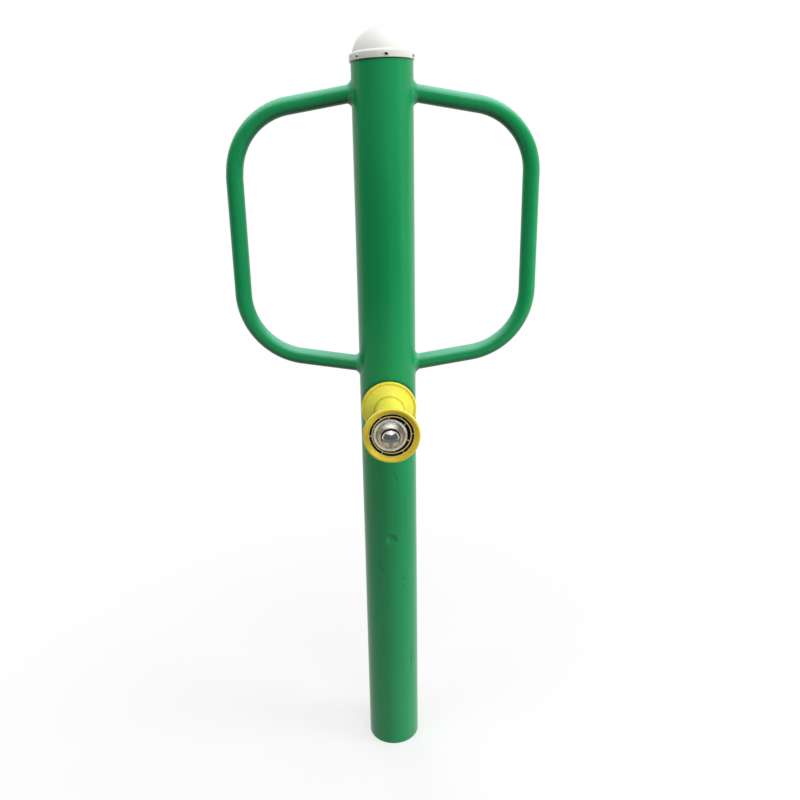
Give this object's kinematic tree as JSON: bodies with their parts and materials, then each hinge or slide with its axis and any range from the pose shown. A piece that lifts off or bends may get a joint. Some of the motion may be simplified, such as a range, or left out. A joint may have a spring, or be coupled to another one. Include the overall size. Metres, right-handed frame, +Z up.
{
  "type": "outdoor air walker post with handle loops and roller",
  "caption": "Round green post with a white domed cap, a loop handle on each side and a yellow flanged roller that turns on a short axle.",
  "frame": {"origin": "centre of the post's foot ring, on the ground", "axes": "+Z up along the post, -Y along the axle towards the roller's nut, +X and -X along the handles"},
  "size_m": [0.592, 0.308, 1.534],
  "materials": {
    "green_paint": "powder coat, half gloss, with fine runs and small wear marks",
    "white_cap": "moulded plastic, half gloss",
    "yellow_plastic": "moulded polyamide, half gloss",
    "bright_steel": "polished stainless steel",
    "turned_steel": "turned and ground bearing steel",
    "rivet_aluminium": "plain aluminium",
    "seal_rubber": "black nitrile rubber",
    "cage_steel": "pressed sheet steel"
  },
  "bodies": {
    "stand": {"post": "green_paint", "left_handle": "green_paint", "right_handle": "green_paint", "left_handle_welds": "green_paint", "right_handle_welds": "green_paint", "dome_cap": "white_cap", "cap_rivets": "rivet_aluminium", "axle": "turned_steel", "axle_front_weld": "green_paint", "axle_rear_weld": "green_paint", "front_bearing_inner_ring": "turned_steel", "rear_bearing_inner_ring": "turned_steel", "bearing_spacer": "turned_steel", "cover_spacer": "turned_steel", "cover_washer": "bright_steel", "dome_nut": "bright_steel"},
    "roller": {"roller_spool": "yellow_plastic", "front_insert_ring": "yellow_plastic", "rear_insert_ring": "yellow_plastic", "front_bearing_outer_ring": "turned_steel", "rear_bearing_outer_ring": "turned_steel", "front_bearing_seals": "seal_rubber", "rear_bearing_seals": "seal_rubber"},
    "front_ball_set": {"front_bearing_balls": "turned_steel", "front_bearing_cage": "cage_steel"},
    "rear_ball_set": {"rear_bearing_balls": "turned_steel", "rear_bearing_cage": "cage_steel"}
  },
  "joints": [
    {"name": "roller_spin", "type": "hinge", "parent": "stand", "child": "roller", "pos_m": [0, -0.143, 0.836], "axis": [0, -1, 0], "continuous": true},
    {"name": "front_balls_orbit", "type": "hinge", "parent": "stand", "child": "front_ball_set", "pos_m": [0, -0.197, 0.836], "axis": [0, -1, 0], "continuous": true},
    {"name": "rear_balls_orbit", "type": "hinge", "parent": "stand", "child": "rear_ball_set", "pos_m": [0, -0.089, 0.836], "axis": [0, -1, 0], "continuous": true}
  ],
  "couplings": [
    {"joint": "front_balls_orbit", "follows": "roller_spin", "ratio": 0.61848},
    {"joint": "rear_balls_orbit", "follows": "roller_spin", "ratio": 0.61848}
  ]
}
